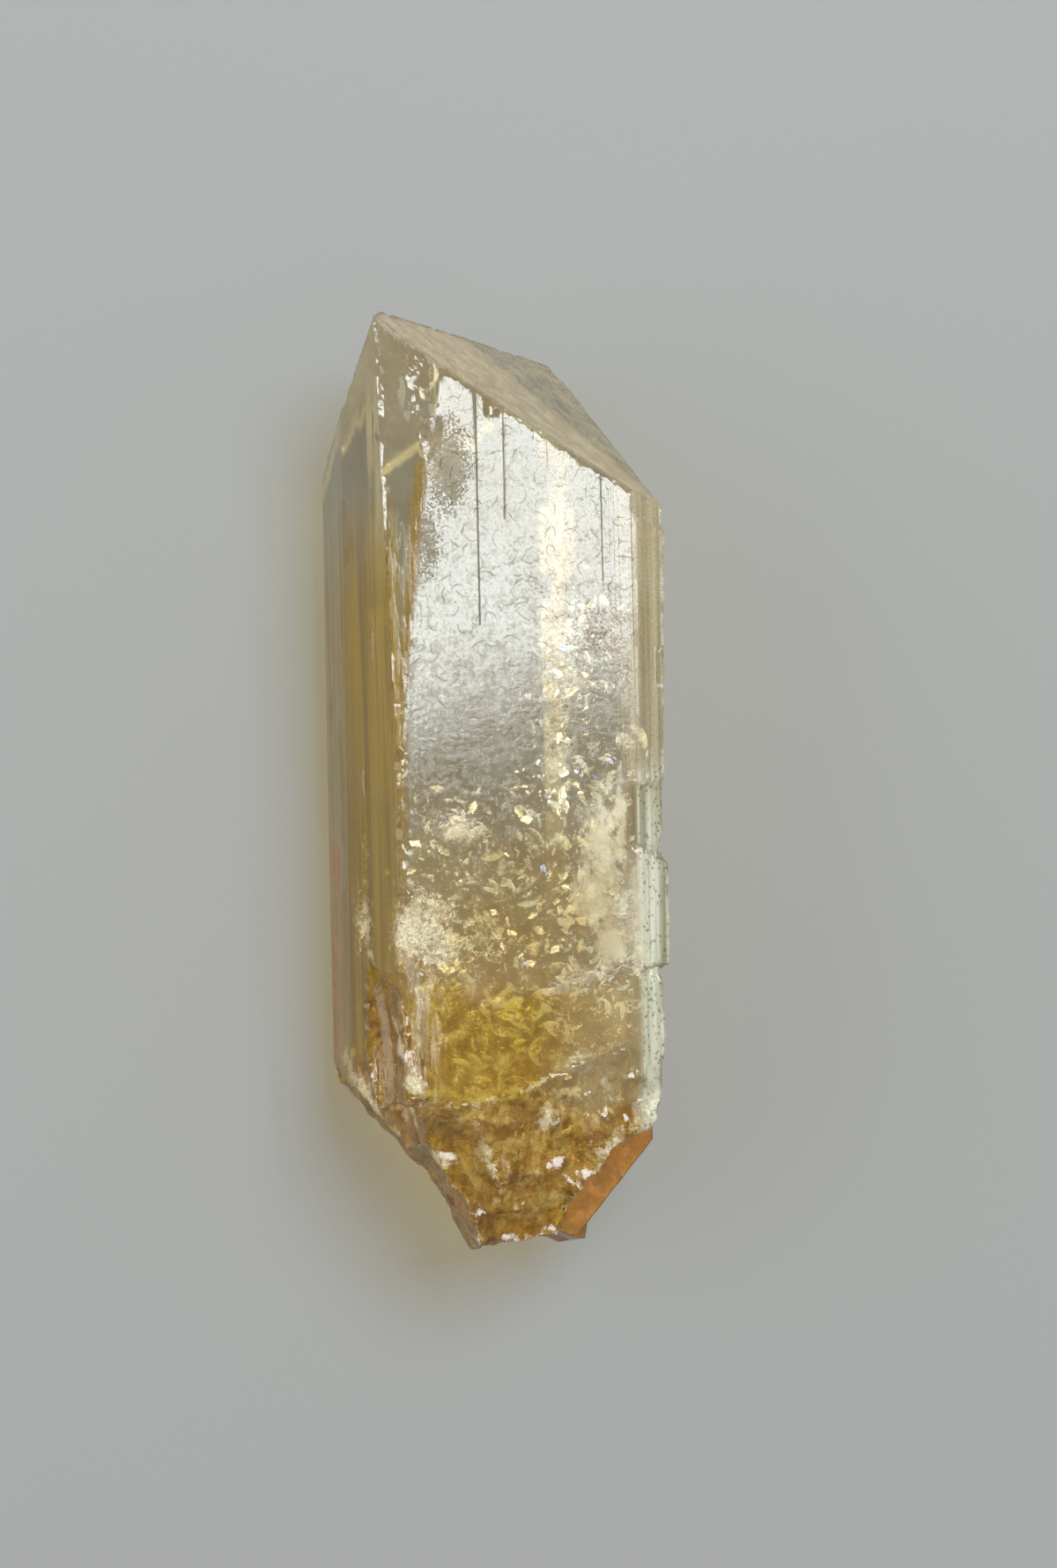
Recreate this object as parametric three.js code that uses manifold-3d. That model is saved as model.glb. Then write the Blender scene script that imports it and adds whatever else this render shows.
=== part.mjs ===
// A danburite crystal lying on its flat back face: tip towards +Y, broken base towards -Y, front face up.
// Its growth faces are flat cuts through a block. Its breaks and overgrowths are fused into the same solid.
import * as THREE from "three";
import { mergeVertices } from "three/addons/utils/BufferGeometryUtils.js";
import Module from "manifold-3d";

const wasm = await Module();
wasm.setup();

// Driving dimensions in millimetres. The heart is the point inside the crystal that its faces are measured
// from.
const LENGTH = 70;
const THICKNESS = 20;
const HALF = THICKNESS / 2;
const FRONT = THICKNESS;
const HEART = new THREE.Vector3(0, 0, HALF);
const BLOCK = 4 * LENGTH;
const UP = new THREE.Vector3(0, 0, 1);
const ALONG = new THREE.Vector3(0, 1, 0);

// Growth faces. TURN is a face's direction in degrees round the long axis, from +X towards +Z. LEAN is its
// slope towards the tip, and REACH is its distance from the heart. The turns are those of danburite's prism.
const FACES = {
  front: { turn: 90, lean: 0, reach: HALF },
  back: { turn: -90, lean: 0, reach: HALF },
  leftWide: { turn: 164, lean: -0.6, reach: 11 },
  leftNarrow: { turn: 175.1, lean: -0.3, reach: 11.15 },
  leftBack: { turn: -166, lean: 0, reach: 12.6 },
  rightFront: { turn: 71.1, lean: -0.3, reach: 12.25 },
  rightSide: { turn: 14, lean: -1.5, reach: 13.3 },
  rightBack: { turn: -16, lean: -1.5, reach: 8.02 },
  rightUnder: { turn: -47.4, lean: 0, reach: 10.75 },
  tipStrip: { turn: 42.6, lean: 48.55, reach: 24.6 },
  tipWide: { turn: 43.3, lean: 48.5, reach: 24.58 },
  tipBack: { turn: -129.7, lean: 44, reach: 24.5 },
  tipLeft: { turn: -167.7, lean: 26.6, reach: 21.77 },
  bevel: { turn: 109.7, lean: 2.3, reach: 12.36 },
  bevelEdge: { turn: 100, lean: 1.2, reach: 11.32 },
};

// Growth ledges: strips of the front face that dip towards the tip, so each side wall fades out downwards.
const LEDGES = [
  { from: -2.3, to: -0.3, end: 11, drop: 0.16 },
  { from: -0.3, to: 6.85, end: 18.7, drop: 0.1 },
  { from: 6.85, to: 9.1, end: 14.2, drop: 0.22 },
];

// Striae: thin grooves along a growth face, deepest at mid-length and fading out at both ends. OFFSET is how
// far each lies from the middle line of its face, and RISE is how far a terrace lifts the face there.
const STRIA = { wide: 0.4, deep: 0.14 };
const STRIAE = [
  { face: "rightFront", offset: 5.8, middle: 7, long: 30, rise: 0.16 },
  { face: "rightFront", offset: 6.5, middle: 1, long: 34, rise: 0.16 },
  { face: "rightFront", offset: 7.3, middle: 8, long: 24, rise: 0.16 },
  { face: "leftWide", offset: -0.6, middle: 6, long: 34, rise: 0 },
  { face: "leftWide", offset: 1.3, middle: 0, long: 26, rise: 0 },
  { face: "leftWide", offset: 3.6, middle: 10, long: 22, rise: 0 },
  { face: "leftWide", offset: 5.2, middle: -2, long: 18, rise: 0 },
];

// Overgrowth terraces that wrap the right-hand edge: where each starts and ends along the crystal, how far
// it stands out and how deep it runs towards the back.
const TERRACES = [
  { low: -0.6, high: 19, out: 0.16, deep: 6 },
  { low: -14.6, high: -4.9, out: 0.52, deep: 9.5 },
  { low: -24, high: -14.3, out: 0.2, deep: 7 },
];
const TERRACE_FACES = ["rightFront", "rightSide", "rightBack"];
const TERRACE_ROOT = 3;
const RIGHT_EDGE = 11;

// Flat breaks. AIM is the direction that a break faces, and THROUGH is a point on it.
const FRONT_BREAK = { aim: [0.06, -0.17, 0.98], through: [0, -22.6, FRONT] };
const FOOT_BREAK = { aim: [0.05, -0.99, 0.12], through: [-1.2, -34.1, 13] };
const HEEL_BREAK = { aim: [-0.18, -0.72, -0.67], through: [-2, -33, 6.5] };

// The lower left break is in two steps. The shelf parts them: the first step is above it, the second below.
const LEFT_BREAK = { aim: [-0.76, -0.65, -0.06], through: [-11.1, -21.7, 5] };
const LOBE_BREAK = { aim: [-0.89, -0.456, -0.03], through: [-4.85, -29.6, 18] };
const SHELF = { aim: [0.35, 0.92, -0.16], through: [-6, -27.8, 12] };

// Conchoidal bites: shallow hollows, each given by the middle of its rim, the way it faces and its size.
const BITES = [
  { at: [-9.3, -19.4, 17], aim: [-0.96, 0, 0.28], wide: 7, long: 12, deep: 0.7, spin: 7 },
  { at: [-8, -25.4, 16.6], aim: [-0.9, -0.3, 0.3], wide: 6, long: 4.6, deep: 0.7, spin: 20 },
  { at: [-8.3, -11.8, 19.7], aim: [-0.55, 0, 0.83], wide: 3, long: 6, deep: 0.3, spin: 15 },
  { at: [-5, -30.2, 15.5], aim: [-0.86, -0.4, 0.28], wide: 6.4, long: 5, deep: 0.6, spin: 0 },
  { at: [-3.9, -32, 18], aim: [-0.5, -0.5, 0.7], wide: 4.6, long: 5, deep: 0.5, spin: 35 },
  { at: [-3.4, -28.2, 18.9], aim: [-0.16, -0.24, 0.96], wide: 5, long: 8, deep: 0.36, spin: 48 },
  { at: [2.4, -27.4, 19], aim: [0.12, -0.2, 0.97], wide: 4.4, long: 8, deep: 0.4, spin: -52 },
  { at: [6.8, -23.2, 19.5], aim: [0.1, -0.2, 0.97], wide: 3, long: 6, deep: 0.3, spin: -76 },
  { at: [0.6, -32, 18], aim: [0.05, -0.34, 0.93], wide: 8, long: 5, deep: 0.7, spin: 10 },
  { at: [2.2, -33.9, 11], aim: [0.03, -1, 0.05], wide: 6.4, long: 13, deep: 0.9, spin: 0 },
  { at: [-3.4, -30.8, 4], aim: [-0.18, -0.72, -0.67], wide: 9, long: 7, deep: 1.1, spin: 25 },
  { at: [-8.2, -26.4, 2.6], aim: [-0.6, -0.6, -0.5], wide: 7, long: 6, deep: 0.8, spin: 0 },
  { at: [9.4, -29.4, 8], aim: [0.76, -0.65, 0], wide: 6, long: 8, deep: 0.6, spin: 40 },
  { at: [-6.1, 28.9, 19.8], aim: [-0.3, 0.04, 0.95], wide: 3.2, long: 6.6, deep: 0.42, spin: -8 },
  { at: [-8.2, 27.8, 19.25], aim: [-0.337, 0.04, 0.94], wide: 3, long: 5.6, deep: 0.4, spin: 12 },
  { at: [-5.6, 24.6, 20], aim: [-0.1, 0.02, 0.99], wide: 1.8, long: 4, deep: 0.14, spin: -20 },
];
const BITE_ROUNDNESS = 3;
const BITE_WOBBLE = 0.09;
const BITE_DETAIL = 8;

// The iron-stained slab: a second, thinner crystal, grown in one with the main one along its lower right.
const SLAB = { right: 13, front: 13, back: 1.2, low: -36, high: -12, inner: 0.2 };
const SLAB_CUTS = [
  { aim: [0.763, -0.646, 0], through: [11.16, -26.7, 13] },
  { aim: [0.996, -0.03, -0.085], through: [11.16, -26.7, 13] },
  { aim: [0.62, 0.74, -0.25], through: [11, -14, 11] },
  { aim: [0.09, -0.97, -0.2], through: [5.2, -33.6, 13] },
  { aim: [0.72, 0, -0.69], through: [10.6, -26, 3.4] },
];

// The break that opens the main crystal in front of the slab.
const SLAB_OPENING = { at: [16.5, -37.6, 18], radius: 14.2 };

// A three.js geometry, placed by MATRIX, as a solid.
function solid(geometry, matrix = new THREE.Matrix4()) {
  const placed = geometry.clone().applyMatrix4(matrix);
  placed.deleteAttribute("normal");
  placed.deleteAttribute("uv");
  const merged = mergeVertices(placed, 1e-4);
  const mesh = new wasm.Mesh({
    numProp: 3,
    vertProperties: merged.attributes.position.array,
    triVerts: new Uint32Array(merged.index.array),
  });
  return new wasm.Manifold(mesh);
}

// A box given by its two opposite corners.
function box(low, high) {
  const size = new THREE.Vector3().subVectors(high, low);
  const centre = new THREE.Vector3().addVectors(high, low).multiplyScalar(0.5);
  const matrix = new THREE.Matrix4().makeTranslation(centre.x, centre.y, centre.z);
  return solid(new THREE.BoxGeometry(size.x, size.y, size.z), matrix);
}

// A layer of the whole crystal's width and thickness, between two places along it.
function layer(low, high) {
  return box(new THREE.Vector3(-LENGTH, low, -THICKNESS), new THREE.Vector3(LENGTH, high, 2 * THICKNESS));
}

// A block that fills the side of a plane that its normal AIM points away from.
function behindPlane(aim, through) {
  const turn = new THREE.Quaternion().setFromUnitVectors(UP, aim);
  const centre = through.clone().addScaledVector(aim, -BLOCK / 2);
  const matrix = new THREE.Matrix4().compose(centre, turn, new THREE.Vector3(1, 1, 1));
  return solid(new THREE.BoxGeometry(BLOCK, BLOCK, BLOCK), matrix);
}

function aimOf(face) {
  const turn = THREE.MathUtils.degToRad(face.turn);
  const lean = THREE.MathUtils.degToRad(face.lean);
  const across = Math.cos(lean);
  return new THREE.Vector3(across * Math.cos(turn), Math.sin(lean), across * Math.sin(turn));
}

// The block behind a growth face. EXTRA moves the face outwards.
function behindFace(face, extra = 0) {
  const aim = aimOf(face);
  return behindPlane(aim, HEART.clone().addScaledVector(aim, face.reach + extra));
}

function behindCut({ aim, through }) {
  return behindPlane(new THREE.Vector3(...aim).normalize(), new THREE.Vector3(...through));
}

// The prism with its slanting tip: a block cut by every growth face in turn.
function growthBody() {
  const whole = layer(-LENGTH, LENGTH);
  return Object.values(FACES).reduce((body, face) => body.intersect(behindFace(face)), whole);
}

// What a growth ledge takes off the front face: a wedge that is thinnest at its lower end.
function ledgeWedge({ from, to, end, drop }) {
  const slope = Math.atan(drop / (LENGTH / 2 - end));
  const wedge = new THREE.BoxGeometry(to - from, 2 * LENGTH, THICKNESS);
  wedge.translate((from + to) / 2, LENGTH, HALF);
  wedge.rotateX(-slope);
  wedge.translate(0, end, FRONT);
  return solid(wedge);
}

// A stria's groove: a thin, eight-sided spindle that lies in the face.
function striaSpindle({ face, offset, middle, long, rise }) {
  const { reach } = FACES[face];
  const aim = aimOf(FACES[face]);
  const side = new THREE.Vector3().crossVectors(ALONG, aim).normalize();
  const along = new THREE.Vector3().crossVectors(aim, side);
  const place = HEART.clone().addScaledVector(aim, reach + rise).addScaledVector(side, offset);
  place.addScaledVector(along, middle);
  const spindle = new THREE.OctahedronGeometry(1);
  spindle.scale(STRIA.wide / 2, long / 2, STRIA.deep);
  return solid(spindle, new THREE.Matrix4().makeBasis(side, along, aim).setPosition(place));
}

// An overgrowth terrace: a thin skin over the right-hand faces, with slanting ends.
function terrace({ low, high, out, deep }) {
  let skin = layer(low, high).intersect(behindFace(FACES.front));
  for (const name of TERRACE_FACES) {
    skin = skin.intersect(behindFace(FACES[name], out));
  }
  const ends = [
    { aim: [-1, 0, 0], through: [TERRACE_ROOT, 0, 0] },
    { aim: [0.5, 0.8, 0.3], through: [RIGHT_EDGE, high - out, FRONT - 2] },
    { aim: [0.35, -0.9, 0.2], through: [RIGHT_EDGE, low + out, FRONT - 2] },
    { aim: [0.5, 0, -0.86], through: [RIGHT_EDGE - 1, 0, FRONT - deep] },
  ];
  return ends.reduce((rest, end) => rest.intersect(behindCut(end)), skin);
}

// What the two steps of the lower left break take off.
function leftSteps() {
  const below = behindCut(SHELF);
  const above = layer(-LENGTH, LENGTH).subtract(below);
  return [above.subtract(behindCut(LEFT_BREAK)), below.subtract(behindCut(LOBE_BREAK))];
}

// What a bite takes off: an ellipsoid with an uneven skin, sunk by the bite's depth.
function biteBall({ at, aim, wide, long, deep, spin }) {
  const half = deep * BITE_ROUNDNESS;
  const rim = Math.sqrt(1 - (1 - deep / half) ** 2);
  const skin = new THREE.IcosahedronGeometry(1, BITE_DETAIL);
  const points = skin.attributes.position;
  for (let i = 0; i < points.count; i += 1) {
    const [x, y, z] = [points.getX(i), points.getY(i), points.getZ(i)];
    const swell = 1 + BITE_WOBBLE * (Math.sin(5 * x + at[0]) + Math.sin(6 * y + at[1]));
    points.setXYZ(i, x * swell, y * swell, z);
  }
  skin.scale(wide / 2 / rim, long / 2 / rim, half);
  skin.rotateZ(THREE.MathUtils.degToRad(spin));
  const out = new THREE.Vector3(...aim).normalize();
  const turn = new THREE.Quaternion().setFromUnitVectors(UP, out);
  const centre = new THREE.Vector3(...at).addScaledVector(out, half - deep);
  return solid(skin, new THREE.Matrix4().compose(centre, turn, new THREE.Vector3(1, 1, 1)));
}

// The slab on the lower right side.
function stainedSlab() {
  const low = new THREE.Vector3(SLAB.inner, SLAB.low, SLAB.back);
  const high = new THREE.Vector3(SLAB.right, SLAB.high, SLAB.front);
  return SLAB_CUTS.reduce((slab, cut) => slab.intersect(behindCut(cut)), box(low, high));
}

function slabOpening() {
  const matrix = new THREE.Matrix4().makeTranslation(...SLAB_OPENING.at);
  return solid(new THREE.IcosahedronGeometry(SLAB_OPENING.radius, BITE_DETAIL), matrix);
}

function crystalSolid() {
  const grown = TERRACES.reduce((body, item) => body.add(terrace(item)), growthBody());
  const cuts = [...LEDGES.map(ledgeWedge), ...STRIAE.map(striaSpindle), ...leftSteps(), slabOpening()];
  const worn = cuts.reduce((body, cut) => body.subtract(cut), grown);
  const flatBreaks = [FRONT_BREAK, FOOT_BREAK, HEEL_BREAK];
  const broken = flatBreaks.reduce((body, cut) => body.intersect(behindCut(cut)), worn);
  const whole = broken.add(stainedSlab());
  return BITES.map(biteBall).reduce((body, cut) => body.subtract(cut), whole);
}

// The largest separate piece of a solid, so that no splinter is left loose.
function mainPiece(whole) {
  const pieces = whole.decompose();
  return pieces.reduce((best, piece) => (piece.volume() > best.volume() ? piece : best));
}

function geometryOf(manifold) {
  const mesh = manifold.getMesh();
  const geometry = new THREE.BufferGeometry();
  geometry.setAttribute("position", new THREE.BufferAttribute(mesh.vertProperties, mesh.numProp));
  geometry.setIndex(new THREE.BufferAttribute(mesh.triVerts, 1));
  geometry.computeVertexNormals();
  return geometry;
}

const stone = new THREE.MeshStandardMaterial({ color: 0xb09c66, roughness: 0.12, metalness: 0 });

const geometry = geometryOf(mainPiece(crystalSolid()));
geometry.computeBoundingBox();
const middle = geometry.boundingBox.getCenter(new THREE.Vector3());

const crystal = new THREE.Mesh(geometry, stone);
crystal.name = "danburite_crystal";
crystal.position.set(-middle.x, -middle.y, -geometry.boundingBox.min.z);

const specimen = new THREE.Group();
specimen.add(crystal);

export default specimen;
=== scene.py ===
import itertools
import math
import random

import bmesh
import bpy
import numpy as np
from mathutils import Matrix, Vector
from mathutils.bvhtree import BVHTree


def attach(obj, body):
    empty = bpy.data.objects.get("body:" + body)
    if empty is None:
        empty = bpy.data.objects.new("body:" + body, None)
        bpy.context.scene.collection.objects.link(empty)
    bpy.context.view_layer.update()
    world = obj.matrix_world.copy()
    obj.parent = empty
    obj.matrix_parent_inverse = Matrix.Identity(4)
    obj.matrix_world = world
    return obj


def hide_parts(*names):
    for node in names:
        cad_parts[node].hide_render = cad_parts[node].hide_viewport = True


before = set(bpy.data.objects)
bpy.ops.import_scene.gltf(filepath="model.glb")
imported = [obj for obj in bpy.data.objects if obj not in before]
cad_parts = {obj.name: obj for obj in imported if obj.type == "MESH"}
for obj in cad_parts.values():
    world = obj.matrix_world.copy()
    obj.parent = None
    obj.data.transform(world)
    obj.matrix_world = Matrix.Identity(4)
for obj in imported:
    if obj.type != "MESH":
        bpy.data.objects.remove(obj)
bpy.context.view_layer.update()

# Lengths are in millimetres about the heart of the prism, until a mesh is handed to Blender in metres.
# +X is the side with fine lines, +Y the pointed end and +Z the broad front face. Its back lies at Z = 0.
MM = 0.001
HEART = np.array([0.047, 0.073, 0.0])  # the heart of the prism, in the frame
MIDDLE = np.array([0.0, 0.0, 10.0])  # the point that the faces' distances are measured from
NET_SCALE = 0.97  # gives faces about 0.28 mm wide
NET_MERGE = 0.03  # points closer than this become one
CORNER_ANGLE = math.radians(24)
FLOOR_SLACK = 0.02  # points below this height lie on the floor
CHIPS = 150  # small chips along the edges
MARK_DEPTH = 0.1  # how deep the marks lie under the faces
MARK_THICK = 0.03
MARK_LEAST = 0.12  # a face whose marks are all weaker than this is left out
MARK_SHARE = 0.72  # share of the marks' faces that is kept

# The crystal's natural faces: the way each one looks, as its turn about the crystal's length and its lean to
# the tip in degrees, and how far it is from the middle.
FACES = {
    "front": (90, 0, 10), "back": (-90, 0, 10),
    "left wide": (164, -0.6, 11), "left narrow": (175.1, -0.3, 11.15), "left back": (-166, 0, 12.6),
    "right front": (71.1, -0.3, 12.25), "right side": (14, -1.5, 13.3),
    "right back": (-16, -1.5, 8.02), "right under": (-47.4, 0, 10.75),
    "tip strip": (42.6, 48.55, 24.6), "tip wide": (43.3, 48.5, 24.58),
    "tip back": (-129.7, 44, 24.5), "tip left": (-167.7, 26.6, 21.77),
    "bevel": (109.7, 2.3, 12.36), "bevel edge": (100, 1.2, 11.32),
}
SIDE_FACES = ("left wide", "left narrow", "left back", "right front")
LINED_FACES = ("right side", "right back")
TIP_FACES = ("tip strip", "tip wide", "tip back", "tip left")

# Shell-shaped hollows in the broken surfaces: place, the way each opens, the way it runs, half width,
# half length and depth.
SCOOPS = [
    ((-9.3, -19.5, 15.2), (-0.9, 0, 0.42), (0.1, -1, 0.1), 1.5, 5.2, 0.75),
    ((-8.1, -24.3, 16.4), (-0.9, -0.1, 0.4), (0.3, -1, 0), 0.9, 1.9, 0.45),
    ((-7.0, -18.6, 19.9), (-0.45, 0, 0.9), (0.25, -1, 0), 1.2, 5.6, 0.28),
    ((-9.9, -23.4, 13.4), (-0.96, -0.05, 0.28), (0.4, -1, 0.3), 1.0, 3.6, 0.35),
    ((-7.6, -10.9, 19.7), (-0.5, 0, 0.85), (0.3, -1, 0), 1.2, 2.2, 0.4),
    ((-10.3, -10.4, 13.6), (-0.96, 0, 0.28), (0, 1, 0), 0.9, 2.0, 0.3),
    ((-6.3, -23.5, 19.9), (-0.1, -0.35, 0.93), (1, 0.1, 0), 1.1, 1.8, 0.35),
    ((-3.3, -24.2, 19.9), (0.05, -0.3, 0.95), (1, 0, 0), 1.2, 1.6, 0.32),
    ((-0.3, -23.9, 19.9), (0, -0.3, 0.95), (1, 0.2, 0), 1.0, 1.7, 0.26),
    ((2.3, -22.6, 19.9), (0.1, -0.3, 0.95), (1, 0.5, 0), 1.1, 1.6, 0.3),
    ((5.0, -21.6, 19.9), (0.1, -0.35, 0.93), (1, 0.3, 0), 1.2, 1.8, 0.36),
    ((7.6, -20.6, 19.7), (0.2, -0.35, 0.9), (1, 0.4, 0), 1.0, 1.5, 0.3),
    ((-5.0, -25.8, 19.0), (-0.15, -0.4, 0.9), (1, -0.2, 0), 1.4, 2.2, 0.4),
    ((-1.9, -26.6, 19.3), (-0.1, -0.2, 0.97), (0.1, -1, 0), 1.1, 2.2, 0.42),
    ((1.1, -26.3, 19.2), (0.1, -0.2, 0.97), (0.2, -1, 0), 1.3, 2.4, 0.5),
    ((4.4, -24.4, 19.4), (0, -0.25, 0.96), (0.5, -1, 0), 1.3, 2.4, 0.5),
    ((7.3, -23.2, 19.3), (0.2, -0.3, 0.93), (0.4, -1, 0), 1.0, 1.7, 0.36),
    ((4.4, -27.9, 18.8), (0.1, -0.3, 0.95), (1, -0.2, 0), 1.2, 1.9, 0.4),
    ((1.2, -29.9, 18.2), (0, -0.3, 0.95), (1, 0.2, 0), 1.2, 2.0, 0.4),
    ((-2.6, -30.1, 18.5), (-0.2, -0.2, 0.96), (0.4, -1, 0), 1.2, 1.8, 0.4),
    ((-0.6, -32.3, 17.6), (0, -0.4, 0.9), (1, 0, 0), 1.0, 1.6, 0.3),
    ((3.3, -31.4, 17.0), (0, -0.45, 0.88), (1, 0.3, 0), 1.1, 1.8, 0.36),
    ((-8.2, 5.3, 19.8), (-0.5, 0, 0.85), (0, 1, 0), 0.35, 0.5, 0.18),
    ((-8.25, 1.6, 19.8), (-0.5, 0, 0.85), (0, 1, 0), 0.4, 0.45, 0.2),
    ((-8.3, 0.7, 19.8), (-0.5, 0, 0.85), (0, 1, 0), 0.3, 0.35, 0.15),
    ((-8.4, -4.0, 19.8), (-0.5, 0, 0.85), (0, 1, 0), 0.4, 0.6, 0.18),
]
LONG_HOLLOW = 5  # a longer hollow has a smoother floor
# Where the crystal was struck: ripples in the breaks run round these places.
STRIKES = np.array([[-12.0, -14.0, 20.0], [2.0, -24.0, 24.0], [12.0, -26.0, 20.0], [-2.0, -38.0, 4.0]])

# Keys that turn a cell's place and a seed into a chance number.
CELL_KEYS = np.array([374761393, 668265263, 1103515245])
SEED_KEY = 1442695041
MIX_KEY = 1274126177

scene = bpy.context.scene


# Small tools

def show(mesh, name):
    piece = bpy.data.objects.new(name, mesh)
    scene.collection.objects.link(piece)
    return piece


def shown_mesh(piece):
    """A copy of a piece's mesh with its modifiers worked in. The piece keeps none."""
    made = bpy.data.meshes.new_from_object(piece.evaluated_get(bpy.context.evaluated_depsgraph_get()))
    piece.modifiers.clear()
    return made


def aim_of(turn, lean):
    """The way a face looks, from its turn and lean in degrees."""
    t, l = math.radians(turn), math.radians(lean)
    return np.array([math.cos(l) * math.cos(t), math.sin(l), math.cos(l) * math.sin(t)])


def smooth(value, low, high):
    """0 at `low`, 1 at `high` and a soft step between."""
    part = np.clip((value - low) / (high - low), 0, 1)
    return part * part * (3 - 2 * part)


def strongest(*shares):
    return np.maximum.reduce([np.asarray(s, dtype=float) for s in shares])


def grain(points, size, seed):
    """Smooth seeded noise from -1 to 1. `size` is that of its lumps, or three sizes for x, y and z."""
    spot = points / size
    cell = np.floor(spot).astype(np.int64)
    part = spot - cell
    fade = part * part * (3 - 2 * part)
    total = np.zeros(len(points))
    for step in itertools.product((0, 1), repeat=3):
        key = (cell + step) @ CELL_KEYS + seed * SEED_KEY
        key = (key ^ (key >> 13)) * MIX_KEY
        key = key ^ (key >> 16)
        share = np.prod(np.where(step, fade, 1 - fade), axis=1)
        total += share * ((key & 0xFFFF) / 32767.5 - 1)
    return total


def layered(points, size, seed, layers=3):
    """Grain with finer and weaker grain on it."""
    return sum(grain(points, np.array(size) / 2 ** n, seed + n) / 2 ** n for n in range(layers))


def line_distance(points, line):
    """How far each point is from a line through the given corners."""
    near = np.full(len(points), 1e9)
    for start, end in zip(line, line[1:]):
        start, end = np.array(start, float), np.array(end, float)
        along = np.clip((points - start) @ (end - start) / max((end - start) @ (end - start), 1e-9), 0, 1)
        near = np.minimum(near, np.linalg.norm(points - start - along[:, None] * (end - start), axis=1))
    return near


# The crystal's surface

def even_skin(cad):
    """The crystal on a fine even net of faces that keeps its sharp corners."""
    bm = bmesh.new()
    bm.from_mesh(cad.data)
    bmesh.ops.scale(bm, vec=(1 / MM, 1 / MM, 1 / MM), verts=bm.verts)
    bmesh.ops.remove_doubles(bm, verts=bm.verts, dist=1e-4)
    coarse = bpy.data.meshes.new("coarse")
    bm.to_mesh(coarse)
    bm.free()
    piece = show(coarse, "crystal_body")
    net = piece.modifiers.new("even net", "REMESH")
    net.mode = "SHARP"
    net.octree_depth = 8
    net.scale = NET_SCALE
    net.sharpness = 1.0
    net.use_remove_disconnected = True
    piece.data = shown_mesh(piece)
    bm = bmesh.new()
    bm.from_mesh(piece.data)
    bmesh.ops.remove_doubles(bm, verts=bm.verts, dist=NET_MERGE)
    bm.to_mesh(piece.data)
    bm.free()
    return piece


class Skin:
    """The net's points, outward directions and neighbours, as arrays."""

    def __init__(self, mesh):
        self.mesh = mesh
        points = np.empty(len(mesh.vertices) * 3)
        mesh.vertices.foreach_get("co", points)
        self.points = points.reshape(-1, 3) - HEART
        edges = np.empty(len(mesh.edges) * 2, dtype=np.int64)
        mesh.edges.foreach_get("vertices", edges)
        self.edges = edges.reshape(-1, 2)
        self.refresh()

    def refresh(self):
        """Moves the mesh to the points and reads its outward directions again."""
        self.mesh.vertices.foreach_set("co", (self.points + HEART).ravel())
        self.mesh.update()
        out = np.empty(len(self.points) * 3)
        self.mesh.vertices.foreach_get("normal", out)
        self.out = out.reshape(-1, 3)

    def spread(self, value, times):
        """Softens a value over neighbouring points."""
        count = np.bincount(self.edges.ravel(), minlength=len(self.points))
        for _ in range(times):
            total = np.zeros_like(value)
            np.add.at(total, self.edges[:, 0], value[self.edges[:, 1]])
            np.add.at(total, self.edges[:, 1], value[self.edges[:, 0]])
            value = (value + (total.T / np.maximum(count, 1)).T) / 2
        return value

    def push(self, depth):
        """Moves each point outwards by its own depth, in mm, and never through the face it lies on."""
        lowest = np.where(self.points[:, 2] < FLOOR_SLACK, 0, FLOOR_SLACK / 2)
        self.points += self.out * depth[:, None]
        self.points[:, 2] = np.maximum(self.points[:, 2], lowest)
        self.refresh()

    def note(self, name, value):
        """Keeps a value from 0 to 1 on each point, for the finishes."""
        self.mesh.attributes.new(name, "FLOAT", "POINT").data.foreach_set("value", np.clip(value, 0, 1))


def on_face(skin, name, slack):
    turn, lean, reach = FACES[name]
    aim = aim_of(turn, lean)
    below = reach - (skin.points - MIDDLE) @ aim
    return (below > -0.6) * (below < slack) * (skin.out @ aim > 0.975)


def on_any(skin, names, slack=0.3):
    """1 on the points on any of the named faces, or less than `slack` mm below it, and 0 elsewhere."""
    return strongest(*[on_face(skin, name, slack) for name in names])


def broken_share(skin):
    """1 where the crystal is broken and 0 on its natural faces."""
    return 1 - smooth(skin.spread(on_any(skin, FACES), 2), 0.35, 0.8)


def slab_share(points):
    """The rusty slab that is grown onto the lower right side."""
    x, y, z = points.T
    edge = -26.2 - y + 1.1 * (x - 6) + 1.1 * layered(points, (2.4, 2.4, 2.4), 131, 3)
    return smooth(x, 3.2, 5.0) * smooth(edge, -0.4, 2.2) * smooth(16 - z, 0, 2.5)


def roughen_breaks(skin, broken):
    """Shell-like ripples and splintery lumps where the crystal is broken."""
    points = skin.points
    lumps = 0.36 * layered(points, (3.0, 3.6, 3.0), 11, 3)
    splinters = -0.22 * np.abs(layered(points, (0.9, 2.6, 0.9), 31, 2))
    reach = np.min(np.linalg.norm(points[:, None] - STRIKES[None], axis=2), axis=1)
    ripples = 0.05 * np.sin(reach * 4.6 + 2.2 * grain(points, 2.5, 47))
    calm = (1 - 0.75 * smooth(points[:, 1], -8, 6)) * (1 - 0.8 * slab_share(points))
    skin.push(broken * calm * (lumps + splinters + ripples))


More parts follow.
